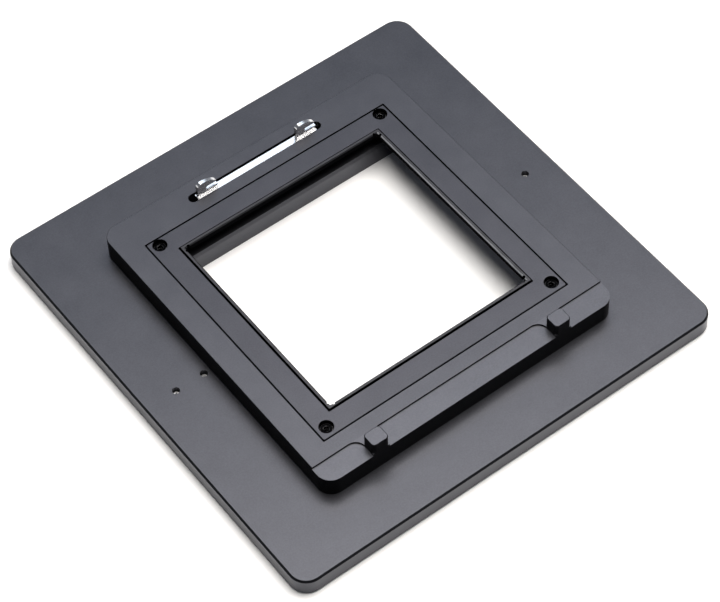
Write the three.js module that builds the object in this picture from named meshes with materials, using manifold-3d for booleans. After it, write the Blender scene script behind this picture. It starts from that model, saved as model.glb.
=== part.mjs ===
// Camera back adapter plate, in millimetres, +Z up.
// Origin: centre of the board's underside. +Y is the hook side, -Y is the lug side.
//
// Stack, from the bottom: square board, mount plate with a pocket, aperture frame in the
// pocket with the light-trap rim hung from it, steel hook plate in a slot behind them.

import * as THREE from 'three';
import { mergeVertices } from 'three/addons/utils/BufferGeometryUtils.js';
import Module from 'manifold-3d';

const wasm = await Module();
wasm.setup();

// ---------------------------------------------------------------- driving dimensions

const BOARD = { side: 132.2, thickness: 5.3, corner: 5, chamfer: 0.5 };

const PLATE = {
  width: 92,
  depth: 98.4,
  middleY: -0.55,
  height: 6.8,
  corner: 4.2,
  chamfer: 0.25,
};

// Window through the board and the pocket floor. It is wider than the rim's opening above it.
const WINDOW = { width: 75.2, depth: 62.9, middleY: -0.25, corner: 0.8 };
const RIM = {
  width: 62.6,
  depth: 62.35,
  middleX: -0.1,
  middleY: -0.3,
  wall: 0.9,
  proud: 0.42,
  height: 1.7,
  footHeight: 0.4,
  footReach: 1.6,
};
const RIM_CORNER_BITE = { radius: 0.42, fromCorner: 1.0, outset: 0.12 };

// Pocket, and the frame that fills it.
const POCKET = { width: 78.1, depth: 77.6, middleX: -0.15, middleY: -0.43, corner: 0.3, floorThickness: 1.6 };
// The frame is a thin plate with a skirt round its edge and a boss under each screw.
const FRAME = {
  edgeGap: 0.3,
  corner: 0.5,
  chamfer: 0.2,
  rimGroove: 0.5,
  footClearance: 0.3,
  skirt: 1.5,
  boss: 7.0,
};

// The plate is cut lower in front of this line, except at the two lugs. The step ends in a
// wide round on the -X side of each lug and in a tight one on its +X side.
const FRONT_STEP = { y: -43.4, depth: 0.55, wideRound: 3, tightRound: 1.2 };
const LUG = { width: 5.0, depth: 4.5, height: 4.0, corner: 1.1, chamfer: 0.2, middlesX: [-29.3, 28.5] };

// Steel hook plate, lying in a round-ended slot.
const SLOT = { length: 42.9, width: 2.8, middleY: 43.36, depth: 4.6 };
const HOOK_BAR = { length: 38.6, middleX: 0.15, width: 1.95, nearY: 42.08, belowTop: 0.1, corner: 0.3 };
const HOOK_TAB = { length: 42.3, belowTop: 3.2 };
// Each hook is a thin upright plate: a round heel, an arm that slopes down to its tip, and a
// notch between the arm and the lip. Heights are above the plate's top face.
const HOOK = {
  leftEdgesX: [-19.0, 13.1],
  thickness: 1.0,
  nearInset: 0.5,
  lipLength: 6.3,
  lipHeight: 1.4,
  armLength: 5.9,
  tipLow: 2.6,
  tipHigh: 3.0,
  heelStart: 3.0,
  crownX: 1.7,
  crownHeight: 4.8,
  notchStartX: 2.6,
};

// Fasteners. Every shank keeps a small clearance to its hole.
const APERTURE_SCREW = {
  pitch: 71.87,
  counterbore: 4.0,
  headDiameter: 3.6,
  headHeight: 2.0,
  headBelowTop: 1.0,
  shankDiameter: 2.0,
  hexAcrossFlats: 1.5,
  hexDepth: 1.1,
  tipZ: 2.0,
};
const MOUNT_SCREW = {
  columnX: 42.5,
  rowsY: [-38, 0, 38],
  headDiameter: 4.7,
  headBelowFace: 0.2,
  shankDiameter: 2.5,
  hexAcrossFlats: 1.5,
  hexDepth: 1.0,
  tipZ: 10.0,
};
const HOOK_SCREW = { middleX: 20.35, headDiameter: 1.6, headHeight: 0.6, shankDiameter: 1.0, tipZ: 5.9 };
const SET_SCREW = {
  middlesX: [-56.6, -48.0, 57.0],
  holeDiameter: 2.05,
  diameter: 1.65,
  topBelowFace: 1.4,
  length: 3.0,
  hexAcrossFlats: 0.8,
  hexDepth: 0.7,
};

const SHANK_CLEARANCE = 0.15;
const HEAD_CLEARANCE = 0.2;
const ROUND_SEGMENTS = 16;
const ARC_SEGMENTS = 5;

// ---------------------------------------------------------------- levels

const boardTop = BOARD.thickness;
const plateTop = boardTop + PLATE.height;
const pocketFloor = boardTop + POCKET.floorThickness;
const rimTop = plateTop + RIM.proud;
const rimBottom = rimTop - RIM.height;
const frameUnderside = rimBottom + RIM.footHeight;
const frameWidth = POCKET.width - 2 * FRAME.edgeGap;
const frameDepth = POCKET.depth - 2 * FRAME.edgeGap;
const stripTop = plateTop - FRONT_STEP.depth;
const plateFrontY = PLATE.middleY - PLATE.depth / 2;
const hookBarTop = plateTop - HOOK_BAR.belowTop;
const hookTabTop = plateTop - HOOK_TAB.belowTop;
const slotFloor = plateTop - SLOT.depth;
const apertureSeatZ = plateTop - APERTURE_SCREW.headBelowTop - APERTURE_SCREW.headHeight;

// ---------------------------------------------------------------- solids from geometries

// Turns a closed geometry into a solid: shared corners merged, empty triangles dropped.
function solidFrom(geometry) {
  const plain = geometry.clone();
  plain.deleteAttribute('normal');
  plain.deleteAttribute('uv');
  const merged = mergeVertices(plain, 1e-5);
  const index = merged.index.array;
  const triangles = [];
  for (let i = 0; i < index.length; i += 3) {
    const [a, b, c] = [index[i], index[i + 1], index[i + 2]];
    if (a !== b && b !== c && c !== a) {
      triangles.push(a, b, c);
    }
  }
  return new wasm.Manifold(new wasm.Mesh({
    numProp: 3,
    vertProperties: new Float32Array(merged.attributes.position.array),
    triVerts: new Uint32Array(triangles),
  }));
}

function geometryFrom(solid) {
  const mesh = solid.getMesh();
  const geometry = new THREE.BufferGeometry();
  geometry.setAttribute('position', new THREE.BufferAttribute(new Float32Array(mesh.vertProperties), 3));
  geometry.setIndex(new THREE.BufferAttribute(new Uint32Array(mesh.triVerts), 1));
  geometry.computeVertexNormals();
  return geometry;
}

// ---------------------------------------------------------------- shared shapes

function roundedRectangle(width, depth, radius, middleX = 0, middleY = 0) {
  const left = middleX - width / 2;
  const right = middleX + width / 2;
  const front = middleY - depth / 2;
  const back = middleY + depth / 2;
  const shape = new THREE.Shape();
  shape.moveTo(left + radius, front);
  shape.lineTo(right - radius, front);
  shape.absarc(right - radius, front + radius, radius, -Math.PI / 2, 0);
  shape.lineTo(right, back - radius);
  shape.absarc(right - radius, back - radius, radius, 0, Math.PI / 2);
  shape.lineTo(left + radius, back);
  shape.absarc(left + radius, back - radius, radius, Math.PI / 2, Math.PI);
  shape.lineTo(left, front + radius);
  shape.absarc(left + radius, front + radius, radius, Math.PI, Math.PI * 1.5);
  return shape;
}

// Straight prism between two heights.
function prism(shape, bottomZ, topZ) {
  const geometry = new THREE.ExtrudeGeometry(shape, {
    depth: topZ - bottomZ,
    bevelEnabled: false,
    curveSegments: ARC_SEGMENTS,
  });
  geometry.translate(0, 0, bottomZ);
  return solidFrom(geometry);
}

// Prism whose top and bottom edges are chamfered inside the outline.
function chamferedPrism(shape, bottomZ, topZ, chamfer) {
  const geometry = new THREE.ExtrudeGeometry(shape, {
    depth: topZ - bottomZ - 2 * chamfer,
    bevelEnabled: true,
    bevelThickness: chamfer,
    bevelSize: chamfer,
    bevelOffset: -chamfer,
    bevelSegments: 1,
    curveSegments: ARC_SEGMENTS,
  });
  geometry.translate(0, 0, bottomZ + chamfer);
  return solidFrom(geometry);
}

// Solid of revolution about the vertical through (x, y); profile points are [radius, z], upwards.
function turned(profile, x, y) {
  const points = profile.map(([radius, z]) => new THREE.Vector2(radius, z));
  const geometry = new THREE.LatheGeometry(points, ROUND_SEGMENTS);
  geometry.rotateX(Math.PI / 2);
  geometry.translate(x, y, 0);
  return solidFrom(geometry);
}

function cylinder(diameter, bottomZ, topZ, x, y) {
  const radius = diameter / 2;
  return turned([[0, bottomZ], [radius, bottomZ], [radius, topZ], [0, topZ]], x, y);
}

function hexagonPrism(acrossFlats, bottomZ, topZ, x, y) {
  const radius = acrossFlats / Math.sqrt(3);
  const shape = new THREE.Shape();
  for (let corner = 0; corner < 6; corner += 1) {
    const angle = (corner * Math.PI) / 3;
    const cornerX = x + radius * Math.cos(angle);
    const cornerY = y + radius * Math.sin(angle);
    if (corner === 0) {
      shape.moveTo(cornerX, cornerY);
    } else {
      shape.lineTo(cornerX, cornerY);
    }
  }
  shape.closePath();
  return prism(shape, bottomZ, topZ);
}

function cut(solid, cutters) {
  return cutters.reduce((rest, cutter) => rest.subtract(cutter), solid);
}

function fourCorners(halfX, halfY) {
  return [[-halfX, -halfY], [halfX, -halfY], [halfX, halfY], [-halfX, halfY]];
}

// ---------------------------------------------------------------- fastener places

const apertureScrewPlaces = fourCorners(APERTURE_SCREW.pitch / 2, APERTURE_SCREW.pitch / 2);
const mountScrewPlaces = [-1, 1].flatMap(
  (side) => MOUNT_SCREW.rowsY.map((y) => [side * MOUNT_SCREW.columnX, y]),
);
const hookScrewPlaces = [-1, 1].map((side) => [side * HOOK_SCREW.middleX, SLOT.middleY]);
const setScrewPlaces = SET_SCREW.middlesX.map((x) => [x, 0]);

// ---------------------------------------------------------------- board

function windowCutter(bottomZ, topZ) {
  const shape = roundedRectangle(WINDOW.width, WINDOW.depth, WINDOW.corner, 0, WINDOW.middleY);
  return prism(shape, bottomZ, topZ);
}

function apertureTappedHoles() {
  const diameter = APERTURE_SCREW.shankDiameter + 2 * SHANK_CLEARANCE;
  return apertureScrewPlaces.map(([x, y]) => cylinder(diameter, APERTURE_SCREW.tipZ - 0.5, plateTop, x, y));
}

// Countersunk clearance hole, open at the board's underside.
function mountScrewHole([x, y]) {
  const mouth = MOUNT_SCREW.headDiameter / 2 + HEAD_CLEARANCE + MOUNT_SCREW.headBelowFace;
  const bore = MOUNT_SCREW.shankDiameter / 2 + SHANK_CLEARANCE;
  const coneTop = mouth - bore;
  return turned([[0, -1], [mouth + 1, -1], [bore, coneTop], [bore, boardTop + 1], [0, boardTop + 1]], x, y);
}

function makeBoard() {
  const outline = roundedRectangle(BOARD.side, BOARD.side, BOARD.corner);
  const setScrewHoles = setScrewPlaces.map(
    ([x, y]) => cylinder(SET_SCREW.holeDiameter, 0.6, boardTop + 1, x, y),
  );
  return cut(chamferedPrism(outline, 0, boardTop, BOARD.chamfer), [
    windowCutter(-1, boardTop + 1),
    ...apertureTappedHoles(),
    ...mountScrewPlaces.map(mountScrewHole),
    ...setScrewHoles,
  ]);
}

// ---------------------------------------------------------------- mount plate

function plateOutline() {
  return roundedRectangle(PLATE.width, PLATE.depth, PLATE.corner, 0, PLATE.middleY);
}

// Area cut lower between two X limits. A limit beside a lug ends in a round corner.
function stripShape(left, right, leftRadius, rightRadius) {
  const front = plateFrontY - 5;
  const back = FRONT_STEP.y;
  const shape = new THREE.Shape();
  shape.moveTo(left, front);
  shape.lineTo(right, front);
  if (rightRadius > 0) {
    shape.lineTo(right, back - rightRadius);
    shape.absarc(right - rightRadius, back - rightRadius, rightRadius, 0, Math.PI / 2);
  } else {
    shape.lineTo(right, back);
  }
  if (leftRadius > 0) {
    shape.lineTo(left + leftRadius, back);
    shape.absarc(left + leftRadius, back - leftRadius, leftRadius, Math.PI / 2, Math.PI);
  } else {
    shape.lineTo(left, back);
  }
  shape.closePath();
  return shape;
}

function frontStripCutters() {
  const [leftLug, rightLug] = LUG.middlesX;
  const half = LUG.width / 2;
  const outside = PLATE.width / 2 + 5;
  const { wideRound, tightRound } = FRONT_STEP;
  return [
    stripShape(-outside, leftLug - half, 0, wideRound),
    stripShape(leftLug + half, rightLug - half, tightRound, wideRound),
    stripShape(rightLug + half, outside, tightRound, 0),
  ].map((shape) => prism(shape, stripTop, plateTop + 1));
}

// Support lug, flush with the plate's front wall.
function lug(middleX) {
  const middleY = plateFrontY + LUG.depth / 2;
  const shape = roundedRectangle(LUG.width, LUG.depth, LUG.corner, middleX, middleY);
  return chamferedPrism(shape, stripTop - 2, stripTop + LUG.height, LUG.chamfer);
}

function pocketCutter() {
  const { width, depth, middleX, middleY, corner } = POCKET;
  return prism(roundedRectangle(width, depth, corner, middleX, middleY), pocketFloor, plateTop + 1);
}

function slotCutter() {
  const shape = roundedRectangle(SLOT.length, SLOT.width, SLOT.width / 2 - 0.01, 0, SLOT.middleY);
  return prism(shape, slotFloor, plateTop + 1);
}

function makeMountPlate() {
  const stepped = cut(chamferedPrism(plateOutline(), boardTop, plateTop, PLATE.chamfer), frontStripCutters());
  const withLugs = LUG.middlesX.reduce((plate, middleX) => plate.add(lug(middleX)), stepped);
  const mountTaps = mountScrewPlaces.map(([x, y]) => cylinder(
    MOUNT_SCREW.shankDiameter + 2 * SHANK_CLEARANCE,
    boardTop - 1,
    MOUNT_SCREW.tipZ + 0.4,
    x,
    y,
  ));
  const hookTaps = hookScrewPlaces.map(([x, y]) => cylinder(
    HOOK_SCREW.shankDiameter + 2 * SHANK_CLEARANCE,
    HOOK_SCREW.tipZ - 0.4,
    plateTop,
    x,
    y,
  ));
  return cut(withLugs, [
    windowCutter(boardTop - 1, plateTop + 1),
    pocketCutter(),
    ...apertureTappedHoles(),
    ...mountTaps,
    slotCutter(),
    ...hookTaps,
  ]);
}

// ---------------------------------------------------------------- light-trap rim

// Two small round bites beside each inner corner leave a short tooth at the corner itself.
function rimCornerBites() {
  const { radius, fromCorner, outset } = RIM_CORNER_BITE;
  const halfX = RIM.width / 2;
  const halfY = RIM.depth / 2;
  const beside = fourCorners(halfX + outset, halfY - fromCorner);
  const ahead = fourCorners(halfX - fromCorner, halfY + outset);
  return [...beside, ...ahead].map(([x, y]) => cylinder(
    2 * radius,
    rimBottom - 1,
    rimTop + 1,
    x + RIM.middleX,
    y + RIM.middleY,
  ));
}

// Outline that stands off from the rim's opening by the given margin.
function roundRim(margin, corner) {
  const { width, depth, middleX, middleY } = RIM;
  return roundedRectangle(width + 2 * margin, depth + 2 * margin, corner, middleX, middleY);
}

// The rim hangs from the frame: a flange at its foot is bonded to the frame's underside.
function makeRim() {
  const foot = roundRim(RIM.wall + RIM.footReach, 0.8);
  const wall = roundRim(RIM.wall, 0.2);
  const opening = roundRim(0, 0.2);
  const body = prism(foot, rimBottom, frameUnderside).add(prism(wall, rimBottom, rimTop));
  return cut(body, [prism(opening, rimBottom - 1, rimTop + 1), ...rimCornerBites()]);
}

// ---------------------------------------------------------------- aperture frame

function apertureScrewSeat([x, y]) {
  const bore = APERTURE_SCREW.shankDiameter / 2 + HEAD_CLEARANCE;
  const counterbore = APERTURE_SCREW.counterbore / 2;
  return turned([
    [0, pocketFloor - 1],
    [bore, pocketFloor - 1],
    [bore, apertureSeatZ],
    [counterbore, apertureSeatZ],
    [counterbore, plateTop + 1],
    [0, plateTop + 1],
  ], x, y);
}

// Hollows under the thin plate, between the skirt and the four corner bosses. The last one
// is the room for the rim's flange.
function frameHollows() {
  const { skirt, boss } = FRAME;
  const { middleX, middleY } = POCKET;
  return [
    roundedRectangle(frameWidth - 2 * skirt, frameDepth - 2 * boss, 0.5, middleX, middleY),
    roundedRectangle(frameWidth - 2 * boss, frameDepth - 2 * skirt, 0.5, middleX, middleY),
    roundRim(RIM.wall + RIM.footReach + FRAME.footClearance, 0.8),
  ].map((shape) => prism(shape, pocketFloor - 1, frameUnderside));
}

function makeApertureFrame() {
  const outline = roundedRectangle(frameWidth, frameDepth, FRAME.corner, POCKET.middleX, POCKET.middleY);
  const opening = roundRim(RIM.wall + FRAME.rimGroove, 0.3);
  return cut(chamferedPrism(outline, pocketFloor, plateTop, FRAME.chamfer), [
    prism(opening, pocketFloor - 1, plateTop + 1),
    ...frameHollows(),
    ...apertureScrewPlaces.map(apertureScrewSeat),
  ]);
}

// ---------------------------------------------------------------- hook plate

// Outline of one hook in X and height.
function hookShape(leftX) {
  const bottom = hookBarTop - 1;
  const notchEndX = leftX + HOOK.notchStartX;
  const tipX = leftX + HOOK.armLength;
  const crownX = leftX + HOOK.crownX;
  const crownZ = plateTop + HOOK.crownHeight;
  const lipZ = plateTop + HOOK.lipHeight;
  const tipLowZ = plateTop + HOOK.tipLow;
  const notchRadius = (tipLowZ - lipZ) / 2;
  const shape = new THREE.Shape();
  shape.moveTo(leftX, bottom);
  shape.lineTo(leftX + HOOK.lipLength, bottom);
  shape.lineTo(leftX + HOOK.lipLength, lipZ);
  shape.lineTo(notchEndX + notchRadius, lipZ);
  shape.absarc(notchEndX + notchRadius, lipZ + notchRadius, notchRadius, Math.PI * 1.5, Math.PI / 2, true);
  shape.lineTo(tipX, tipLowZ);
  shape.lineTo(tipX, plateTop + HOOK.tipHigh);
  shape.quadraticCurveTo(leftX + HOOK.armLength / 2 + 1, crownZ, crownX, crownZ);
  shape.quadraticCurveTo(leftX, crownZ, leftX, plateTop + HOOK.heelStart);
  shape.closePath();
  return shape;
}

function hook(leftX) {
  const geometry = new THREE.ExtrudeGeometry(hookShape(leftX), {
    depth: HOOK.thickness,
    bevelEnabled: false,
    curveSegments: ARC_SEGMENTS,
  });
  geometry.rotateX(Math.PI / 2);
  geometry.translate(0, HOOK_BAR.nearY + HOOK.nearInset + HOOK.thickness, 0);
  return solidFrom(geometry);
}

function makeHookPlate() {
  const middleY = HOOK_BAR.nearY + HOOK_BAR.width / 2;
  const { length, middleX, width, corner } = HOOK_BAR;
  const bar = roundedRectangle(length, width, corner, middleX, middleY);
  const tabs = roundedRectangle(HOOK_TAB.length, HOOK_BAR.width, HOOK_BAR.width / 2 - 0.01, 0, middleY);
  const plate = prism(bar, slotFloor, hookBarTop).add(prism(tabs, slotFloor, hookTabTop));
  const withHooks = HOOK.leftEdgesX.reduce((rest, leftX) => rest.add(hook(leftX)), plate);
  const bore = HOOK_SCREW.shankDiameter + 2 * SHANK_CLEARANCE;
  return cut(withHooks, hookScrewPlaces.map(([x, y]) => cylinder(bore, slotFloor - 1, hookTabTop + 1, x, y)));
}

// ---------------------------------------------------------------- fasteners

function makeApertureScrew([x, y]) {
  const head = APERTURE_SCREW.headDiameter / 2;
  const shank = APERTURE_SCREW.shankDiameter / 2;
  const top = apertureSeatZ + APERTURE_SCREW.headHeight;
  const body = turned([
    [0, APERTURE_SCREW.tipZ],
    [shank - 0.3, APERTURE_SCREW.tipZ],
    [shank, APERTURE_SCREW.tipZ + 0.3],
    [shank, apertureSeatZ],
    [head, apertureSeatZ],
    [head, top - 0.2],
    [head - 0.2, top],
    [0, top],
  ], x, y);
  const socket = hexagonPrism(APERTURE_SCREW.hexAcrossFlats, top - APERTURE_SCREW.hexDepth, top + 1, x, y);
  return body.subtract(socket);
}

// Countersunk screw driven from the underside.
function makeMountScrew([x, y]) {
  const face = MOUNT_SCREW.headBelowFace;
  const head = MOUNT_SCREW.headDiameter / 2;
  const shank = MOUNT_SCREW.shankDiameter / 2;
  const body = turned([
    [0, face],
    [head, face],
    [shank, face + head - shank],
    [shank, MOUNT_SCREW.tipZ - 0.3],
    [shank - 0.3, MOUNT_SCREW.tipZ],
    [0, MOUNT_SCREW.tipZ],
  ], x, y);
  return body.subtract(hexagonPrism(MOUNT_SCREW.hexAcrossFlats, face - 1, face + MOUNT_SCREW.hexDepth, x, y));
}

// Small screw with a domed, slotted head that holds one end of the hook plate.
function makeHookScrew([x, y]) {
  const head = HOOK_SCREW.headDiameter / 2;
  const shank = HOOK_SCREW.shankDiameter / 2;
  const top = hookTabTop + HOOK_SCREW.headHeight;
  const body = turned([
    [0, HOOK_SCREW.tipZ],
    [shank, HOOK_SCREW.tipZ],
    [shank, hookTabTop],
    [head, hookTabTop],
    [head, top - 0.3],
    [head * 0.75, top - 0.08],
    [head * 0.35, top],
    [0, top],
  ], x, y);
  const driverSlot = roundedRectangle(HOOK_SCREW.headDiameter + 0.4, 0.25, 0.02, x, y);
  return body.subtract(prism(driverSlot, top - 0.25, top + 1));
}

function makeSetScrew([x, y]) {
  const radius = SET_SCREW.diameter / 2;
  const top = boardTop - SET_SCREW.topBelowFace;
  const bottom = top - SET_SCREW.length;
  const body = turned([
    [0, bottom],
    [radius * 0.5, bottom],
    [radius, bottom + 0.35],
    [radius, top - 0.1],
    [radius - 0.1, top],
    [0, top],
  ], x, y);
  return body.subtract(hexagonPrism(SET_SCREW.hexAcrossFlats, top - SET_SCREW.hexDepth, top + 1, x, y));
}

// ---------------------------------------------------------------- materials and assembly

const anodised = () => new THREE.MeshStandardMaterial({ color: 0x4a4c52, roughness: 0.55, metalness: 0.4 });
const mattBlack = () => new THREE.MeshStandardMaterial({ color: 0x15161a, roughness: 0.8, metalness: 0.1 });
const polishedSteel = () => new THREE.MeshStandardMaterial({ color: 0xd9dadd, roughness: 0.2, metalness: 1 });
const blackSteel = () => new THREE.MeshStandardMaterial({ color: 0x1b1b1e, roughness: 0.4, metalness: 0.8 });

const assembly = new THREE.Group();

function addPart(name, solid, material) {
  const mesh = new THREE.Mesh(geometryFrom(solid), material);
  mesh.name = name;
  assembly.add(mesh);
}

function addEach(name, places, makeOne, material) {
  places.forEach((place, number) => addPart(`${name}_${number + 1}`, makeOne(place), material()));
}

addPart('base_plate', makeBoard(), anodised());
addPart('mount_plate', makeMountPlate(), anodised());
addPart('light_trap_rim', makeRim(), mattBlack());
addPart('aperture_frame', makeApertureFrame(), anodised());
addPart('hook_plate', makeHookPlate(), polishedSteel());
addEach('aperture_screw', apertureScrewPlaces, makeApertureScrew, blackSteel);
addEach('mount_screw', mountScrewPlaces, makeMountScrew, blackSteel);
addEach('hook_screw', hookScrewPlaces, makeHookScrew, polishedSteel);
addEach('set_screw', setScrewPlaces, makeSetScrew, polishedSteel);

export default assembly;
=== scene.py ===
# Looks of the camera back adapter plate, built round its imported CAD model.
#
# Each CAD node is replaced by a finer mesh of the same size: smooth rounds, true chamfers and a
# small bevel on every sharp edge. Lengths in the shape code are millimetres, and the finished
# pieces are in metres.

import math

import bmesh
import bpy
from mathutils import Matrix, Vector


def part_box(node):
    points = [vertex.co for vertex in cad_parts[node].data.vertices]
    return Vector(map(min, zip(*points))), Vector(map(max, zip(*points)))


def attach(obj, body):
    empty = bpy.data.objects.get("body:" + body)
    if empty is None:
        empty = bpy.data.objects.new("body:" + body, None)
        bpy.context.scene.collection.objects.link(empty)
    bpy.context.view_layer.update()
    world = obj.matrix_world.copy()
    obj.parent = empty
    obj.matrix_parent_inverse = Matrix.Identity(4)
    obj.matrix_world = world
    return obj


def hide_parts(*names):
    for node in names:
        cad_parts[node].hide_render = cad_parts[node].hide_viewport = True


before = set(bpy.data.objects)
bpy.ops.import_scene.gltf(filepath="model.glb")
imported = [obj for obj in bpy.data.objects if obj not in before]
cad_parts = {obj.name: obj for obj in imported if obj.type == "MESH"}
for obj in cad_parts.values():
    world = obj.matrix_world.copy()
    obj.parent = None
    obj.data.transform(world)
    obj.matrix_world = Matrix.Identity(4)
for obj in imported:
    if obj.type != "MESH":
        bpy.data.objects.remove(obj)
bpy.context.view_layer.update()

MM = 0.001


# ---------------------------------------------------------------- camera

FOCAL_LENGTH = 135.5
SENSOR_WIDTH = 36.0
CAMERA_AZIMUTH = math.radians(-35.57)
CAMERA_ELEVATION = math.radians(53.43)
CAMERA_ROLL = math.radians(2.15)
CAMERA_DISTANCE = 0.6898
CAMERA_TARGET = Vector((-0.0061, -0.01046, 0.01212))


def add_camera():
    azimuth, elevation = CAMERA_AZIMUTH, CAMERA_ELEVATION
    towards = Vector((
        math.sin(azimuth) * math.cos(elevation),
        -math.cos(azimuth) * math.cos(elevation),
        math.sin(elevation),
    ))
    level_right = Vector((math.cos(azimuth), math.sin(azimuth), 0.0))
    level_up = towards.cross(level_right)
    right = level_right * math.cos(CAMERA_ROLL) - level_up * math.sin(CAMERA_ROLL)
    up = level_up * math.cos(CAMERA_ROLL) + level_right * math.sin(CAMERA_ROLL)
    data = bpy.data.cameras.new("camera")
    data.lens = FOCAL_LENGTH
    data.sensor_width = SENSOR_WIDTH
    data.sensor_fit = "HORIZONTAL"
    data.clip_start = 0.01
    data.clip_end = 20.0
    camera = bpy.data.objects.new("camera", data)
    turn = Matrix((right, up, towards)).transposed().to_4x4()
    camera.matrix_world = Matrix.Translation(CAMERA_TARGET + towards * CAMERA_DISTANCE) @ turn
    bpy.context.scene.collection.objects.link(camera)
    bpy.context.scene.camera = camera


# ---------------------------------------------------------------- stage and light

FLOOR_HALF_SIDE = 3.0
FLOOR_DROP = 0.00004

# The world's light changes from its wall strength to its overhead strength between these
# heights of a direction, from 0 at the horizon to 1 straight up.
WALL_HEIGHT = 0.2
OVERHEAD_HEIGHT = 0.7


def add_floor():
    mesh = bpy.data.meshes.new("floor")
    half = FLOOR_HALF_SIDE
    corners = [(-half, -half), (half, -half), (half, half), (-half, half)]
    mesh.from_pydata([(x, y, -FLOOR_DROP) for x, y in corners], [], [(0, 1, 2, 3)])
    floor = bpy.data.objects.new("floor", mesh)
    material, shader = new_material("pale_paper")
    shader.inputs["Base Color"].default_value = (0.88, 0.88, 0.885, 1)
    shader.inputs["Roughness"].default_value = 0.9
    shader.inputs["Specular IOR Level"].default_value = 0.1
    mesh.materials.append(material)
    bpy.context.scene.collection.objects.link(floor)


# Level panel overhead that shines straight down, turned about the vertical by its heading, which
# is in degrees.
def add_panel(name, middle, size, height, heading, radiance, colour):
    data = bpy.data.lights.new(name, "AREA")
    data.shape = "RECTANGLE"
    data.size, data.size_y = size
    data.energy = radiance * math.pi * size[0] * size[1]
    data.color = colour
    light = bpy.data.objects.new(name, data)
    light.location = (*middle, height)
    light.rotation_euler = (0, 0, math.radians(heading))
    bpy.context.scene.collection.objects.link(light)


# Dim studio: dark overhead, brighter towards the walls.
def add_world(overhead, walls):
    world = bpy.data.worlds.new("studio")
    world.use_nodes = True
    tree = world.node_tree
    background = tree.nodes["Background"]
    background.inputs["Color"].default_value = (0.8, 0.87, 1.0, 1)
    height = add_coordinate(tree, "Generated", "Z")
    strength = add_range(tree, height, WALL_HEIGHT, OVERHEAD_HEIGHT, walls, overhead)
    tree.links.new(strength, background.inputs["Strength"])
    bpy.context.scene.world = world


# ---------------------------------------------------------------- material nodes

def new_material(name):
    material = bpy.data.materials.new(name)
    material.use_nodes = True
    return material, material.node_tree.nodes["Principled BSDF"]


def add_coordinate(tree, space, axis):
    place = tree.nodes.new("ShaderNodeTexCoord")
    parts = tree.nodes.new("ShaderNodeSeparateXYZ")
    tree.links.new(place.outputs[space], parts.inputs["Vector"])
    return parts.outputs[axis]


# Noise in object space, stretched by the three scales, which are cycles per metre.
def add_noise(tree, scales, detail=3.0, roughness=0.55):
    place = tree.nodes.new("ShaderNodeTexCoord")
    stretch = tree.nodes.new("ShaderNodeMapping")
    stretch.inputs["Scale"].default_value = scales
    noise = tree.nodes.new("ShaderNodeTexNoise")
    noise.inputs["Scale"].default_value = 1.0
    noise.inputs["Detail"].default_value = detail
    noise.inputs["Roughness"].default_value = roughness
    tree.links.new(place.outputs["Object"], stretch.inputs["Vector"])
    tree.links.new(stretch.outputs["Vector"], noise.inputs["Vector"])
    return noise.outputs["Fac"]


def add_range(tree, value, from_low, from_high, to_low, to_high):
    node = tree.nodes.new("ShaderNodeMapRange")
    for socket, number in zip(("From Min", "From Max", "To Min", "To Max"),
                              (from_low, from_high, to_low, to_high)):
        node.inputs[socket].default_value = number
    tree.links.new(value, node.inputs["Value"])
    return node.outputs["Result"]


def add_math(tree, operation, first, second):
    node = tree.nodes.new("ShaderNodeMath")
    node.operation = operation
    tree.links.new(first, node.inputs[0])
    tree.links.new(second, node.inputs[1])
    return node.outputs["Value"]


# Mix of two colours, each either a plain colour or another node's output.
def add_mix(tree, share, first, second):
    node = tree.nodes.new("ShaderNodeMix")
    node.data_type = "RGBA"
    tree.links.new(share, node.inputs["Factor"])
    for socket, value in ((node.inputs["A"], first), (node.inputs["B"], second)):
        if isinstance(value, tuple):
            socket.default_value = (*value, 1)
        else:
            tree.links.new(value, socket)
    return node.outputs["Result"]


def add_face_value(tree, name):
    node = tree.nodes.new("ShaderNodeAttribute")
    node.attribute_name = name
    return node.outputs["Fac"]


def add_bump(tree, height, depth, strength):
    node = tree.nodes.new("ShaderNodeBump")
    node.inputs["Strength"].default_value = strength
    node.inputs["Distance"].default_value = depth
    tree.links.new(height, node.inputs["Height"])
    return node.outputs["Normal"]


def scaled(colour, share):
    return tuple(channel * share for channel in colour)


# ---------------------------------------------------------------- materials

# Noise scales along X, Y and Z.
BLASTED_GRAIN = (6500, 6500, 6500)
BLASTED_SPECKLE = (2400, 2400, 2400)
RUBBED_SPOTS = (900, 900, 900)
BLASTED_CLOUD = (110, 110, 110)
DULL_GRAIN = (5000, 5000, 5000)
DULL_STREAK = (260, 260, 1800)
GROUND_LINES = (300, 14000, 14000)
GROUND_CLOUD = (240, 240, 240)
OXIDE_FILM = (1800, 1800, 1800)

ANODISED_ROUGHNESS = 0.36
MOTTLE_SPREAD = 0.14
# Chamfers get painted shade: this share of the tops' colour.
PAINTED_CHAMFER_SHADE = 0.35
FRONT_SHARE = 1.16
FRONT_BLEND = 0.0001
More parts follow.
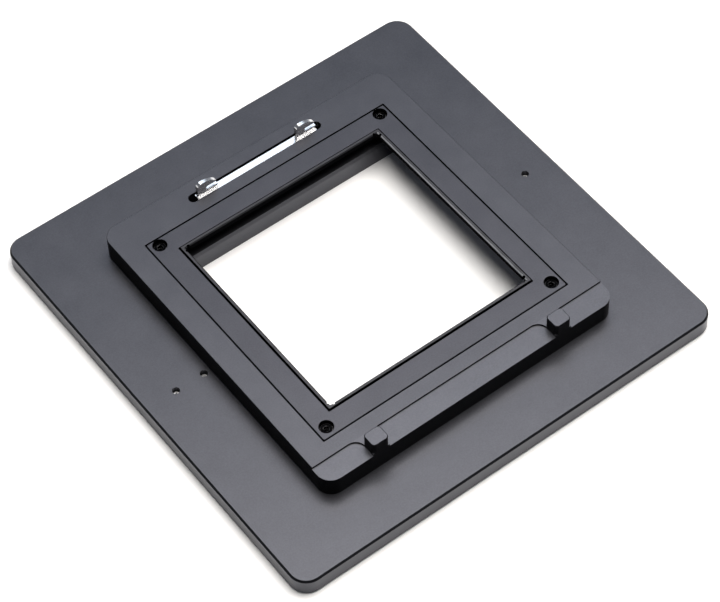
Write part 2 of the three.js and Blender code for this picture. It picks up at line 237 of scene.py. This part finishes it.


# Bead-blasted anodised aluminium: fine grain, faint cloudy mottling and slightly rubbed edges.
# The walls get painted shade or painted light, and the chamfers painted shade, as shares of
# the tops' colour. Tops further towards -Y than front_line, in metres, are a little brighter.
def anodised(name, colour, painted_wall_shading, front_line=-1.0):
    material, shader = new_material(name)
    tree = material.node_tree
    grain = add_noise(tree, BLASTED_GRAIN, detail=2.0)
    cloud = add_noise(tree, BLASTED_CLOUD, detail=6.0, roughness=0.7)
    spots = add_noise(tree, RUBBED_SPOTS, detail=2.0)
    speckle = add_noise(tree, BLASTED_SPECKLE, detail=1.0)
    mottle = add_range(tree, add_math(tree, "ADD", cloud, speckle), 0.6, 1.4, 0.0, 1.0)

    def mottled(share):
        darker = scaled(colour, (1 - MOTTLE_SPREAD) * share)
        lighter = scaled(colour, (1 + MOTTLE_SPREAD) * share)
        return add_mix(tree, mottle, darker, lighter)

    along_y = add_coordinate(tree, "Object", "Y")
    front = add_range(tree, along_y, front_line - FRONT_BLEND, front_line, 1.0, 0.0)
    tops = add_mix(tree, front, mottled(1.0), mottled(FRONT_SHARE))
    # Walls get painted shade or light, and chamfers painted shade, as shares of the colour.
    upright = add_face_value(tree, "upright")
    with_walls = add_mix(tree, upright, tops, scaled(colour, painted_wall_shading))
    # Painted shade on the chamfers.
    slanted = add_face_value(tree, "slanted")
    shaded = add_mix(tree, slanted, with_walls, scaled(colour, PAINTED_CHAMFER_SHADE))
    patches = add_range(tree, spots, 0.45, 0.62, 0.1, 0.35)
    wear = add_math(tree, "MULTIPLY", add_face_value(tree, "bevelled"), patches)
    rubbed = tuple(channel * 3.0 + 0.05 for channel in colour)
    tree.links.new(add_mix(tree, wear, shaded, rubbed), shader.inputs["Base Color"])
    shader.inputs["Metallic"].default_value = 0.8
    tint = min(1.0, 0.3 + 0.7 * painted_wall_shading)
    shader.inputs["Specular Tint"].default_value = (tint, tint, tint, 1)
    low, high = ANODISED_ROUGHNESS - 0.03, ANODISED_ROUGHNESS + 0.03
    uneven = add_range(tree, add_math(tree, "ADD", cloud, grain), 0.7, 1.3, low, high)
    tree.links.new(uneven, shader.inputs["Roughness"])
    tree.links.new(add_bump(tree, grain, 0.000012, 0.5), shader.inputs["Normal"])
    return material


# Dull black finish. Its top faces are rubbed smoother and look metallic, and the chamfer faces
# towards -X carry a painted highlight in a paler grey.
def dull_black(name, colour, roughness, top_colour, top_roughness, painted_highlight_colour):
    material, shader = new_material(name)
    tree = material.node_tree
    grain = add_noise(tree, DULL_GRAIN)
    streak = add_noise(tree, DULL_STREAK)
    upper = add_face_value(tree, "upper")
    edge = add_face_value(tree, "painted_highlight_chamfer")
    rubbed = add_math(tree, "MULTIPLY", upper, add_range(tree, streak, 0.3, 0.65, 0.75, 1.0))
    # Painted highlight: the marked chamfer faces towards -X turn a paler grey, broken by streaks.
    highlight_share = add_math(tree, "MULTIPLY", edge, add_range(tree, streak, 0.3, 0.6, 0.7, 1.0))
    topped = add_mix(tree, rubbed, colour, top_colour)
    tree.links.new(add_mix(tree, highlight_share, topped, painted_highlight_colour), shader.inputs["Base Color"])
    smoothed = add_range(tree, rubbed, 0.0, 1.0, roughness, top_roughness)
    tree.links.new(smoothed, shader.inputs["Roughness"])
    bare = add_math(tree, "MULTIPLY", rubbed, add_range(tree, edge, 0.0, 1.0, 1.0, 0.0))
    tree.links.new(bare, shader.inputs["Metallic"])
    shader.inputs["Specular IOR Level"].default_value = 0.0
    tree.links.new(add_bump(tree, grain, 0.00002, 0.5), shader.inputs["Normal"])
    return material


# Ground steel: fine lines along X, with faint clouding.
def ground_steel(name, colour, roughness):
    material, shader = new_material(name)
    tree = material.node_tree
    lines = add_noise(tree, GROUND_LINES)
    cloud = add_noise(tree, GROUND_CLOUD, detail=4.0)
    tree.links.new(add_mix(tree, cloud, scaled(colour, 0.9), colour), shader.inputs["Base Color"])
    shader.inputs["Metallic"].default_value = 1.0
    ground = add_range(tree, lines, 0.3, 0.7, roughness - 0.02, roughness + 0.03)
    tree.links.new(ground, shader.inputs["Roughness"])
    tree.links.new(add_bump(tree, lines, 0.000002, 0.15), shader.inputs["Normal"])
    return material


# Black oxide on steel: thin dark film with rubbed rims, whose paler bare steel is wear and also a
# painted glint.
def black_oxide(name, colour, roughness):
    material, shader = new_material(name)
    tree = material.node_tree
    film = add_noise(tree, OXIDE_FILM, detail=4.0)
    patches = add_range(tree, film, 0.4, 0.65, 0.05, 0.5)
    # Paler steel on the bevels: rubbed wear, and painted glints on the heads.
    wear = add_math(tree, "MULTIPLY", add_face_value(tree, "bevelled"), patches)
    worn_steel_and_glint = (0.25, 0.25, 0.26)
    tree.links.new(add_mix(tree, wear, colour, worn_steel_and_glint), shader.inputs["Base Color"])
    shader.inputs["Metallic"].default_value = 1.0
    shader.inputs["Specular Tint"].default_value = (0.3, 0.3, 0.3, 1)
    uneven = add_range(tree, film, 0.3, 0.7, roughness - 0.06, roughness + 0.08)
    tree.links.new(uneven, shader.inputs["Roughness"])
    tree.links.new(add_bump(tree, film, 0.000006, 0.4), shader.inputs["Normal"])
    return material


# ---------------------------------------------------------------- outlines

def on_circle(middle, radius, angle):
    return middle[0] + radius * math.cos(angle), middle[1] + radius * math.sin(angle)


def rounded_rectangle(width, depth, radius, middle=(0.0, 0.0), steps=12):
    reach_x = width / 2 - radius
    reach_y = depth / 2 - radius
    points = []
    for corner, (side_x, side_y) in enumerate(((1, -1), (1, 1), (-1, 1), (-1, -1))):
        turning_point = (middle[0] + side_x * reach_x, middle[1] + side_y * reach_y)
        for step in range(steps + 1):
            angle = (corner - 1 + step / steps) * math.pi / 2
            points.append(on_circle(turning_point, radius, angle))
    return points


def arc(middle, radius, start, end, steps=12):
    turn = (end - start) / steps
    return [on_circle(middle, radius, start + turn * step) for step in range(steps + 1)]


def quadratic(start, control, end, steps=14):
    points = []
    for step in range(steps + 1):
        t = step / steps
        points.append(tuple(
            (1 - t) ** 2 * a + 2 * t * (1 - t) * b + t ** 2 * c
            for a, b, c in zip(start, control, end)
        ))
    return points


# ---------------------------------------------------------------- solids

# How far a cutter runs past a face that it opens.
PAST = 1.0

# Sides of a turned solid, and of the larger screws and their counterbores.
TURNED_STEPS = 40
FINE_STEPS = 64


def mesh_object(vertices, faces):
    mesh = bpy.data.meshes.new("solid")
    mesh.from_pydata(vertices, [], faces)
    mesh.update()
    thing = bpy.data.objects.new("solid", mesh)
    bpy.context.scene.collection.objects.link(thing)
    return thing


# Closed solid through rings of equal length, given from the lowest to the highest.
def lofted(rings):
    count = len(rings[0])
    vertices = [point for ring in rings for point in ring]
    faces = [tuple(reversed(range(count)))]
    for level in range(len(rings) - 1):
        low, high = level * count, (level + 1) * count
        for i in range(count):
            j = (i + 1) % count
            faces.append((low + i, low + j, high + j, high + i))
    last = (len(rings) - 1) * count
    faces.append(tuple(range(last, last + count)))
    return mesh_object(vertices, faces)


def prism(outline, bottom, top):
    return lofted([[(x, y, z) for x, y in outline] for z in (bottom, top)])


# Block with a chamfer round its top and another round its bottom.
def chamfered_block(width, depth, radius, middle, bottom, top, chamfer, low_chamfer):
    def ring(inset, z):
        outline = rounded_rectangle(width - 2 * inset, depth - 2 * inset, radius - inset, middle)
        return [(x, y, z) for x, y in outline]

    return lofted([
        ring(low_chamfer, bottom),
        ring(0, bottom + low_chamfer),
        ring(0, top - chamfer),
        ring(chamfer, top),
    ])


# Solid of revolution about a vertical axis. Profile pairs are radius and height, upwards.
def turned(profile, place, steps=TURNED_STEPS):
    angles = [2 * math.pi * step / steps for step in range(steps)]
    return lofted([
        [(*on_circle(place, radius, angle), z) for angle in angles]
        for radius, z in profile
    ])


def cylinder(diameter, bottom, top, place, steps=TURNED_STEPS):
    return turned([(diameter / 2, bottom), (diameter / 2, top)], place, steps)


def hexagonal_hole(across_flats, bottom, top, place):
    return cylinder(across_flats / math.cos(math.pi / 6), bottom, top, place, steps=6)


def applied(thing):
    graph = bpy.context.evaluated_depsgraph_get()
    result = thing.evaluated_get(graph)
    mesh = bpy.data.meshes.new_from_object(result, preserve_all_data_layers=True, depsgraph=graph)
    thing.modifiers.clear()
    thing.data = mesh
    return thing


def combine(thing, others, operation):
    for other in others:
        step = thing.modifiers.new("step", "BOOLEAN")
        step.operation = operation
        step.solver = "EXACT"
        step.object = other
    applied(thing)
    for other in others:
        bpy.data.objects.remove(other)
    return thing


def cut(thing, cutters):
    return combine(thing, cutters, "DIFFERENCE")


def join(thing, others):
    return combine(thing, others, "UNION")


# ---------------------------------------------------------------- finished pieces

SHARP = math.radians(28)
BEVEL_SEGMENTS = 2

MERGE_DISTANCE = 0.0005
FLAT_ANGLE = math.radians(0.3)

# A face is a wall where its normal's Z is under the first number, and level where it is over
# the second.
WALL = 0.3
LEVEL = 0.9


def clean(mesh):
    shape = bmesh.new()
    shape.from_mesh(mesh)
    bmesh.ops.remove_doubles(shape, verts=shape.verts, dist=MERGE_DISTANCE)
    bmesh.ops.dissolve_limit(shape, angle_limit=FLAT_ANGLE, verts=shape.verts, edges=shape.edges)
    bmesh.ops.recalc_face_normals(shape, faces=shape.faces)
    shape.to_mesh(mesh)
    shape.free()


# Bevels every sharp edge. The bevel's faces get the second of two material slots.
def bevel_edges(thing, material, width):
    mesh = thing.data
    mesh.materials.clear()
    mesh.materials.append(material)
    mesh.materials.append(material)
    mesh.polygons.foreach_set("material_index", [0] * len(mesh.polygons))
    mesh.polygons.foreach_set("use_smooth", [True] * len(mesh.polygons))
    edge = thing.modifiers.new("edge", "BEVEL")
    edge.width = width
    edge.segments = BEVEL_SEGMENTS
    edge.limit_method = "ANGLE"
    edge.angle_limit = SHARP
    edge.material = 1
    normals = thing.modifiers.new("normals", "WEIGHTED_NORMAL")
    normals.weight = 90
    normals.keep_sharp = False
    applied(thing)


def mark_faces(mesh, name, belongs):
    values = mesh.attributes.new(name, "FLOAT", "FACE")
    values.data.foreach_set("value", [float(belongs(face)) for face in mesh.polygons])


# Bevels the piece, marks the faces that its material treats apart, and turns millimetres into
# metres. The piece then stands for its CAD node. Upper faces lie above upper_from, and walls
# lie further than walls_beyond from the middle, both in millimetres.
def finish_piece(thing, node, material, slot, bevel, upper_from=math.inf, walls_beyond=0.0):
    clean(thing.data)
    bevel_edges(thing, material, bevel)
    mesh = thing.data
    mark_faces(mesh, "bevelled", lambda face: face.material_index == 1)
    mark_faces(mesh, "upright", lambda face: (
        abs(face.normal.z) < WALL
        and max(abs(face.center.x), abs(face.center.y)) > walls_beyond
    ))
    mark_faces(mesh, "upper", lambda face: face.center.z > upper_from and face.normal.z > WALL)
    mark_faces(mesh, "slanted", lambda face: WALL <= abs(face.normal.z) <= LEVEL)
    # The top's chamfer faces towards -X are marked for a painted highlight.
    mark_faces(mesh, "painted_highlight_chamfer", lambda face: (
        face.center.z > upper_from
        and WALL < face.normal.z < LEVEL
        and face.normal.x < -WALL
    ))
    mesh.polygons.foreach_set("material_index", [0] * len(mesh.polygons))
    mesh.materials.pop()
    mesh.transform(Matrix.Scale(MM, 4))
    mesh.update()
    thing.name = node + "_fine"
    mesh.name = thing.name
    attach(thing, "root")
    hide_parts(node)


# ---------------------------------------------------------------- places, read from the frame

def box_mm(node):
    low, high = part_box(node)
    return low / MM, high / MM


def middle_of(node):
    low, high = box_mm(node)
    return (low.x + high.x) / 2, (low.y + high.y) / 2


def numbered(name, count):
    return [f"{name}_{number}" for number in range(1, count + 1)]


BOARD_LOW, BOARD_HIGH = box_mm("base_plate")
PLATE_LOW, PLATE_HIGH = box_mm("mount_plate")
FRAME_LOW, FRAME_HIGH = box_mm("aperture_frame")
RIM_LOW, RIM_HIGH = box_mm("light_trap_rim")
HOOKS_LOW, HOOKS_HIGH = box_mm("hook_plate")

BOARD_TOP = BOARD_HIGH.z
POCKET_FLOOR = FRAME_LOW.z
PLATE_TOP = FRAME_HIGH.z
APERTURE_SCREWS = numbered("aperture_screw", 4)
MOUNT_SCREWS = numbered("mount_screw", 6)
HOOK_SCREWS = numbered("hook_screw", 2)
SET_SCREWS = numbered("set_screw", 3)


# ---------------------------------------------------------------- board

BOARD = {"corner": 5.0, "chamfer": 0.5}
WINDOW = {"width": 75.2, "depth": 62.9, "middle": (0.0, -0.25), "corner": 0.8}
APERTURE_HOLE = {"diameter": 2.3, "floor": 1.5}
MOUNT_HOLE = {"mouth_radius": 2.75, "board_radius": 1.4, "plate_diameter": 2.8, "top": 10.4}
HOOK_HOLE = {"diameter": 1.3, "floor": 5.5}
SET_HOLE = {"diameter": 2.05, "floor": 0.6}


def window_cutter(bottom, top):
    width, depth = WINDOW["width"], WINDOW["depth"]
    outline = rounded_rectangle(width, depth, WINDOW["corner"], WINDOW["middle"])
    return prism(outline, bottom, top)


# Hole through the board with a 45-degree mouth in its underside.
def countersink(place):
    mouth, bore = MOUNT_HOLE["mouth_radius"], MOUNT_HOLE["board_radius"]
    profile = [(mouth + PAST, -PAST), (bore, mouth - bore), (bore, BOARD_TOP + PAST)]
    return turned(profile, place)


def blind_hole(hole, place):
    return cylinder(hole["diameter"], hole["floor"], BOARD_TOP + PAST, place)


def make_board():
    size = BOARD_HIGH - BOARD_LOW
    chamfer = BOARD["chamfer"]
    body = chamfered_block(
        size.x, size.y, BOARD["corner"], middle_of("base_plate"), 0.0, BOARD_TOP, chamfer, chamfer,
    )
    cutters = [window_cutter(-PAST, BOARD_TOP + PAST)]
    cutters += [blind_hole(APERTURE_HOLE, middle_of(node)) for node in APERTURE_SCREWS]
    cutters += [countersink(middle_of(node)) for node in MOUNT_SCREWS]
    cutters += [blind_hole(SET_HOLE, middle_of(node)) for node in SET_SCREWS]
    return cut(body, cutters)


# ---------------------------------------------------------------- mount plate

PLATE = {"corner": 4.2, "chamfer": 0.14, "low_chamfer": 0.05}
POCKET = {"edge_gap": 0.3, "corner": 0.3}
STEP = {"y": -43.4, "depth": 0.55, "wide_round": 3.0, "tight_round": 1.2}
LUG = {"width": 5.0, "depth": 4.5, "corner": 1.1, "chamfer": 0.2, "middles": (-29.3, 28.5), "root": 2.0}
SLOT = {"length": 42.9, "width": 2.8, "middle": (0.0, 43.36), "floor": PLATE_TOP - 4.6}

# How far the front step's cutters run past the plate's outline.
STEP_PAST = 5.0

# Kept off a slot's full end radius, so that its two end arcs don't meet in one point.
ARC_GAP = 0.01


def strip_cutter(left, right, left_radius, right_radius):
    front = PLATE_LOW.y - STEP_PAST
    back = STEP["y"]
    outline = [(left, front), (right, front)]
    if right_radius > 0:
        outline += arc((right - right_radius, back - right_radius), right_radius, 0, math.pi / 2)
    else:
        outline.append((right, back))
    if left_radius > 0:
        outline += arc((left + left_radius, back - left_radius), left_radius, math.pi / 2, math.pi)
    else:
        outline.append((left, back))
    return prism(outline, PLATE_TOP - STEP["depth"], PLATE_TOP + PAST)


# The front step lies outside both lugs and between them.
def cut_front_step(body, half_width):
    left, right = LUG["middles"]
    half = LUG["width"] / 2
    outside = half_width + STEP_PAST
    wide, tight = STEP["wide_round"], STEP["tight_round"]
    return cut(body, [
        strip_cutter(-outside, left - half, 0, wide),
        strip_cutter(left + half, right - half, tight, wide),
        strip_cutter(right + half, outside, tight, 0),
    ])


def make_lug(middle_x):
    bottom = PLATE_TOP - STEP["depth"] - LUG["root"]
    place = (middle_x, PLATE_LOW.y + LUG["depth"] / 2)
    chamfer = LUG["chamfer"]
    return chamfered_block(
        LUG["width"], LUG["depth"], LUG["corner"], place, bottom, PLATE_HIGH.z, chamfer, chamfer,
    )


def pocket_cutter():
    gap = POCKET["edge_gap"]
    width = FRAME_HIGH.x - FRAME_LOW.x + 2 * gap
    depth = FRAME_HIGH.y - FRAME_LOW.y + 2 * gap
    outline = rounded_rectangle(width, depth, POCKET["corner"], middle_of("aperture_frame"))
    return prism(outline, POCKET_FLOOR, PLATE_TOP + PAST)


def slot_cutter():
    end_radius = SLOT["width"] / 2 - ARC_GAP
    outline = rounded_rectangle(SLOT["length"], SLOT["width"], end_radius, SLOT["middle"])
    return prism(outline, SLOT["floor"], PLATE_TOP + PAST)


def make_mount_plate():
    width = PLATE_HIGH.x - PLATE_LOW.x
    depth = PLATE_HIGH.y - PLATE_LOW.y
    body = chamfered_block(
        width, depth, PLATE["corner"], middle_of("mount_plate"), BOARD_TOP, PLATE_TOP,
        PLATE["chamfer"], PLATE["low_chamfer"],
    )
    cut_front_step(body, width / 2)
    join(body, [make_lug(x) for x in LUG["middles"]])
    cut(body, [pocket_cutter()])
    bottom = BOARD_TOP - PAST
    holes = [window_cutter(bottom, PLATE_TOP + PAST)]
    for node in APERTURE_SCREWS:
        holes.append(cylinder(APERTURE_HOLE["diameter"], bottom, PLATE_TOP, middle_of(node)))
    for node in MOUNT_SCREWS:
        diameter, top = MOUNT_HOLE["plate_diameter"], MOUNT_HOLE["top"]
        holes.append(cylinder(diameter, bottom, top, middle_of(node)))
    cut(body, [*holes, slot_cutter()])
    return cut(body, [
        cylinder(HOOK_HOLE["diameter"], HOOK_HOLE["floor"], PLATE_TOP, middle_of(node))
        for node in HOOK_SCREWS
    ])


# ---------------------------------------------------------------- rim and frame

RIM = {
    "width": 62.6,
    "depth": 62.35,
    "wall": 0.9,
    "corner": 0.2,
    "foot_height": 0.4,
    "foot_reach": 1.6,
    "foot_corner": 0.8,
    "painted_highlight_chamfer": 0.3,
}
RIM_MIDDLE = middle_of("light_trap_rim")
RIM_FOOT = RIM["wall"] + RIM["foot_reach"]
CORNER_BITE = {"diameter": 0.84, "from_corner": 1.0, "outset": 0.12, "steps": 24}
FRAME = {
    "corner": 0.5,
    "chamfer": 0.2,
    "rim_groove": 0.5,
    "groove_corner": 0.3,
    "foot_clearance": 0.3,
    "skirt": 1.5,
    "boss": 7.0,
}
FRAME_UNDERSIDE = RIM_LOW.z + RIM["foot_height"]
COUNTERBORE = {"hole_radius": 1.2, "radius": 2.0, "depth": 3.0}


# Outline that stands off from the rim's opening by the given margin.
def round_rim(margin, corner, steps=3):
    width = RIM["width"] + 2 * margin
    depth = RIM["depth"] + 2 * margin
    return rounded_rectangle(width, depth, corner, RIM_MIDDLE, steps)


# The opening, which flares at the top into the inner chamfer that carries a painted highlight.
def rim_opening():
    edge, top = RIM["painted_highlight_chamfer"], RIM_HIGH.z
    sections = [(0, RIM_LOW.z - PAST), (0, top - edge), (edge, top), (2 * edge, top + edge)]
    return lofted([
        [(x, y, z) for x, y in round_rim(margin, RIM["corner"])] for margin, z in sections
    ])


# Two round bites beside each corner of the opening leave a small tooth between them.
def corner_bites():
    half_width, half_depth = RIM["width"] / 2, RIM["depth"] / 2
    from_corner, outset = CORNER_BITE["from_corner"], CORNER_BITE["outset"]
    places = []
    for side_x in (-1, 1):
        for side_y in (-1, 1):
            places.append((side_x * (half_width + outset), side_y * (half_depth - from_corner)))
            places.append((side_x * (half_width - from_corner), side_y * (half_depth + outset)))
    diameter, steps = CORNER_BITE["diameter"], CORNER_BITE["steps"]
    bottom, top = RIM_LOW.z - PAST, RIM_HIGH.z + PAST
    return [
        cylinder(diameter, bottom, top, (RIM_MIDDLE[0] + x, RIM_MIDDLE[1] + y), steps)
        for x, y in places
    ]


def make_rim():
    body = prism(round_rim(RIM_FOOT, RIM["foot_corner"], steps=12), RIM_LOW.z, FRAME_UNDERSIDE)
    join(body, [prism(round_rim(RIM["wall"], RIM["corner"]), RIM_LOW.z, RIM_HIGH.z)])
    cut(body, [rim_opening()])
    return cut(body, corner_bites())


# The frame is a thin plate with a skirt round its edge and a boss under each corner. The rim
# stands in its opening, with the rim's foot under the plate.
def make_frame():
    size = FRAME_HIGH - FRAME_LOW
    middle = middle_of("aperture_frame")
    corner, chamfer = FRAME["corner"], FRAME["chamfer"]
    bottom, top = POCKET_FLOOR - PAST, PLATE_TOP + PAST
    body = chamfered_block(size.x, size.y, corner, middle, POCKET_FLOOR, PLATE_TOP, chamfer, chamfer)
    opening = round_rim(RIM["wall"] + FRAME["rim_groove"], FRAME["groove_corner"], steps=4)
    cut(body, [prism(opening, bottom, top)])
    skirt, boss = 2 * FRAME["skirt"], 2 * FRAME["boss"]
    hollows = [
        rounded_rectangle(size.x - skirt, size.y - boss, corner, middle),
        rounded_rectangle(size.x - boss, size.y - skirt, corner, middle),
        round_rim(RIM_FOOT + FRAME["foot_clearance"], RIM["foot_corner"], steps=12),
    ]
    for hollow in hollows:
        cut(body, [prism(hollow, bottom, FRAME_UNDERSIDE)])
    seat = PLATE_TOP - COUNTERBORE["depth"]
    hole, counterbore = COUNTERBORE["hole_radius"], COUNTERBORE["radius"]
    profile = [(hole, bottom), (hole, seat), (counterbore, seat), (counterbore, top)]
    return cut(body, [turned(profile, middle_of(node), FINE_STEPS) for node in APERTURE_SCREWS])


# ---------------------------------------------------------------- hook plate

HOOK = {
    "left_edges": (-19.0, 13.1),
    "thickness": 1.0,
    "near_inset": 0.5,
    "lip_length": 6.3,
    "lip_height": 1.4,
    "arm_length": 5.9,
    "tip_low": 2.6,
    "tip_high": 3.0,
    "heel_start": 3.0,
    "crown_x": 1.7,
    "crown_height": 4.8,
    "notch_start": 2.6,
    "root": 1.0,
}
BAR = {"length": 38.6, "middle_x": 0.15, "top": PLATE_TOP - 0.1, "corner": 0.3}
TAB_TOP = PLATE_TOP - 3.2


# Outline of one hook in X and height: round heel, sloping arm, notch open towards +X, lip.
def hook_outline(left):
    bottom = BAR["top"] - HOOK["root"]
    crown = PLATE_TOP + HOOK["crown_height"]
    lip = PLATE_TOP + HOOK["lip_height"]
    tip_low = PLATE_TOP + HOOK["tip_low"]
    tip_high = PLATE_TOP + HOOK["tip_high"]
    notch = (tip_low - lip) / 2
    notch_x = left + HOOK["notch_start"] + notch
    tip_x = left + HOOK["arm_length"]
    crown_x = left + HOOK["crown_x"]
    lip_x = left + HOOK["lip_length"]
    heel_z = PLATE_TOP + HOOK["heel_start"]
    arm_control_x = left + HOOK["arm_length"] / 2 + 1
    outline = [(left, bottom), (lip_x, bottom), (lip_x, lip)]
    outline += arc((notch_x, lip + notch), notch, 1.5 * math.pi, 0.5 * math.pi)
    outline.append((tip_x, tip_low))
    outline += quadratic((tip_x, tip_high), (arm_control_x, crown), (crown_x, crown))
    outline += quadratic((crown_x, crown), (left, crown), (left, heel_z))[1:]
    return outline


def make_hooks():
    low_y, high_y = HOOKS_LOW.y, HOOKS_HIGH.y
    width = high_y - low_y
    length = HOOKS_HIGH.x - HOOKS_LOW.x
    middle_y = (low_y + high_y) / 2
    bar = rounded_rectangle(BAR["length"], width, BAR["corner"], (BAR["middle_x"], middle_y))
    tabs = rounded_rectangle(length, width, width / 2 - ARC_GAP, (0, middle_y))
    body = prism(bar, HOOKS_LOW.z, BAR["top"])
    join(body, [prism(tabs, HOOKS_LOW.z, TAB_TOP)])
    near = low_y + HOOK["near_inset"]
    for left in HOOK["left_edges"]:
        outline = hook_outline(left)
        rings = [[(x, y, z) for x, z in outline] for y in (near + HOOK["thickness"], near)]
        join(body, [lofted(rings)])
    bottom, top = HOOKS_LOW.z - PAST, TAB_TOP + PAST
    return cut(body, [
        cylinder(HOOK_HOLE["diameter"], bottom, top, middle_of(node)) for node in HOOK_SCREWS
    ])


# ---------------------------------------------------------------- fasteners

APERTURE_SCREW = {
    "head_height": 2.0,
    "head_chamfer": 0.2,
    "shank": 1.0,
    "tip_chamfer": 0.3,
    "socket": 1.5,
    "socket_depth": 1.1,
}
MOUNT_SCREW = {"shank": 1.25, "tip_chamfer": 0.3, "socket": 1.5, "socket_depth": 1.0}
SET_SCREW = {
    "tip_share": 0.5,
    "tip_height": 0.35,
    "rim_chamfer": 0.1,
    "socket": 0.8,
    "socket_depth": 0.7,
}

# The dome's pairs are shares of the head's radius and depths below its top. The driver slot is
# longer than the head by its excess.
HOOK_SCREW = {
    "shank": 0.5,
    "dome": ((1.0, 0.3), (0.75, 0.08), (0.35, 0.0)),
    "driver_excess": 0.4,
    "driver_width": 0.25,
    "driver_depth": 0.25,
    "driver_corner": 0.02,
}


# Place, radius and lowest and highest points of a screw.
def screw_size(node):
    low, high = box_mm(node)
    return middle_of(node), (high.x - low.x) / 2, low.z, high.z


def socket_from_above(screw, top, place):
    return hexagonal_hole(screw["socket"], top - screw["socket_depth"], top + PAST, place)


def make_aperture_screw(node):
    place, head, bottom, top = screw_size(node)
    shank, tip = APERTURE_SCREW["shank"], APERTURE_SCREW["tip_chamfer"]
    chamfer = APERTURE_SCREW["head_chamfer"]
    seat = top - APERTURE_SCREW["head_height"]
    body = turned([
        (shank - tip, bottom), (shank, bottom + tip), (shank, seat),
        (head, seat), (head, top - chamfer), (head - chamfer, top),
    ], place, FINE_STEPS)
    return cut(body, [socket_from_above(APERTURE_SCREW, top, place)])


# The head points down, with its socket in the board's underside.
def make_mount_screw(node):
    place, head, bottom, top = screw_size(node)
    shank, tip = MOUNT_SCREW["shank"], MOUNT_SCREW["tip_chamfer"]
    body = turned([
        (head, bottom), (shank, bottom + head - shank), (shank, top - tip), (shank - tip, top),
    ], place, FINE_STEPS)
    socket_top = bottom + MOUNT_SCREW["socket_depth"]
    return cut(body, [hexagonal_hole(MOUNT_SCREW["socket"], bottom - PAST, socket_top, place)])


def make_hook_screw(node):
    place, head, bottom, top = screw_size(node)
    shank = HOOK_SCREW["shank"]
    dome = [(head * share, top - depth) for share, depth in HOOK_SCREW["dome"]]
    body = turned([(shank, bottom), (shank, TAB_TOP), (head, TAB_TOP), *dome], place)
    length = 2 * head + HOOK_SCREW["driver_excess"]
    width, corner = HOOK_SCREW["driver_width"], HOOK_SCREW["driver_corner"]
    driver = rounded_rectangle(length, width, corner, place, steps=2)
    return cut(body, [prism(driver, top - HOOK_SCREW["driver_depth"], top + PAST)])


def make_set_screw(node):
    place, radius, bottom, top = screw_size(node)
    chamfer = SET_SCREW["rim_chamfer"]
    body = turned([
        (radius * SET_SCREW["tip_share"], bottom), (radius, bottom + SET_SCREW["tip_height"]),
        (radius, top - chamfer), (radius - chamfer, top),
    ], place)
    return cut(body, [socket_from_above(SET_SCREW, top, place)])


# ---------------------------------------------------------------- the object

BOARD_COLOUR = (0.0425, 0.0435, 0.0510)
PLATE_COLOUR = (0.0500, 0.0510, 0.0590)
FRAME_COLOUR = (0.0445, 0.0450, 0.0525)

# The walls' share paints light on the board's walls and shade on the plate's and frame's walls.
board_material = anodised("board_anodised", BOARD_COLOUR, painted_wall_shading=1.35)
plate_material = anodised(
    "plate_anodised", PLATE_COLOUR, painted_wall_shading=0.25, front_line=STEP["y"] * MM,
)
frame_material = anodised("frame_anodised", FRAME_COLOUR, painted_wall_shading=0.15)
rim_material = dull_black(
    "rim_black",
    colour=(0.003, 0.003, 0.0035),
    roughness=0.8,
    top_colour=(0.040, 0.040, 0.044),
    top_roughness=0.40,
    painted_highlight_colour=(0.185, 0.19, 0.205),
)
hook_material = ground_steel("hook_steel", (0.88, 0.88, 0.89), 0.24)
oxide_material = black_oxide("screw_black", (0.0012, 0.0012, 0.0014), 0.3)
zinc_material = ground_steel("screw_steel", (0.55, 0.55, 0.56), 0.3)

# The walls of the plate's window lie nearer the middle than this, and keep the tops' colour without the
# walls' painted shade.
PLATE_WALLS_BEYOND = 38.0

finish_piece(make_board(), "base_plate", board_material, "board_anodised", bevel=0.06)
finish_piece(
    make_mount_plate(), "mount_plate", plate_material, "plate_anodised", bevel=0.05,
    walls_beyond=PLATE_WALLS_BEYOND,
)
finish_piece(
    make_rim(), "light_trap_rim", rim_material, "rim_black", bevel=0.08, upper_from=PLATE_TOP,
)
finish_piece(make_frame(), "aperture_frame", frame_material, "frame_anodised", bevel=0.05)
finish_piece(make_hooks(), "hook_plate", hook_material, "hook_steel", bevel=0.09)
for screws, make_screw, material, slot, bevel in (
    (APERTURE_SCREWS, make_aperture_screw, oxide_material, "screw_black", 0.06),
    (MOUNT_SCREWS, make_mount_screw, oxide_material, "screw_black", 0.05),
    (HOOK_SCREWS, make_hook_screw, zinc_material, "screw_steel", 0.03),
    (SET_SCREWS, make_set_screw, zinc_material, "screw_steel", 0.03),
):
    for screw in screws:
        finish_piece(make_screw(screw), screw, material, slot, bevel)


# ---------------------------------------------------------------- the picture

add_camera()
add_floor()
add_world(overhead=0.06, walls=0.25)
add_panel(
    "key_softbox", middle=(0.25, 0.038), size=(1.0, 0.80), height=1.0, heading=-23,
    radiance=9.2, colour=(1.0, 0.965, 0.92),
)
add_panel(
    "back_panel", middle=(0.48, 0.78), size=(1.2, 0.7), height=1.0, heading=-27,
    radiance=1.4, colour=(0.72, 0.84, 1.0),
)
bpy.context.scene.view_settings.view_transform = "Standard"
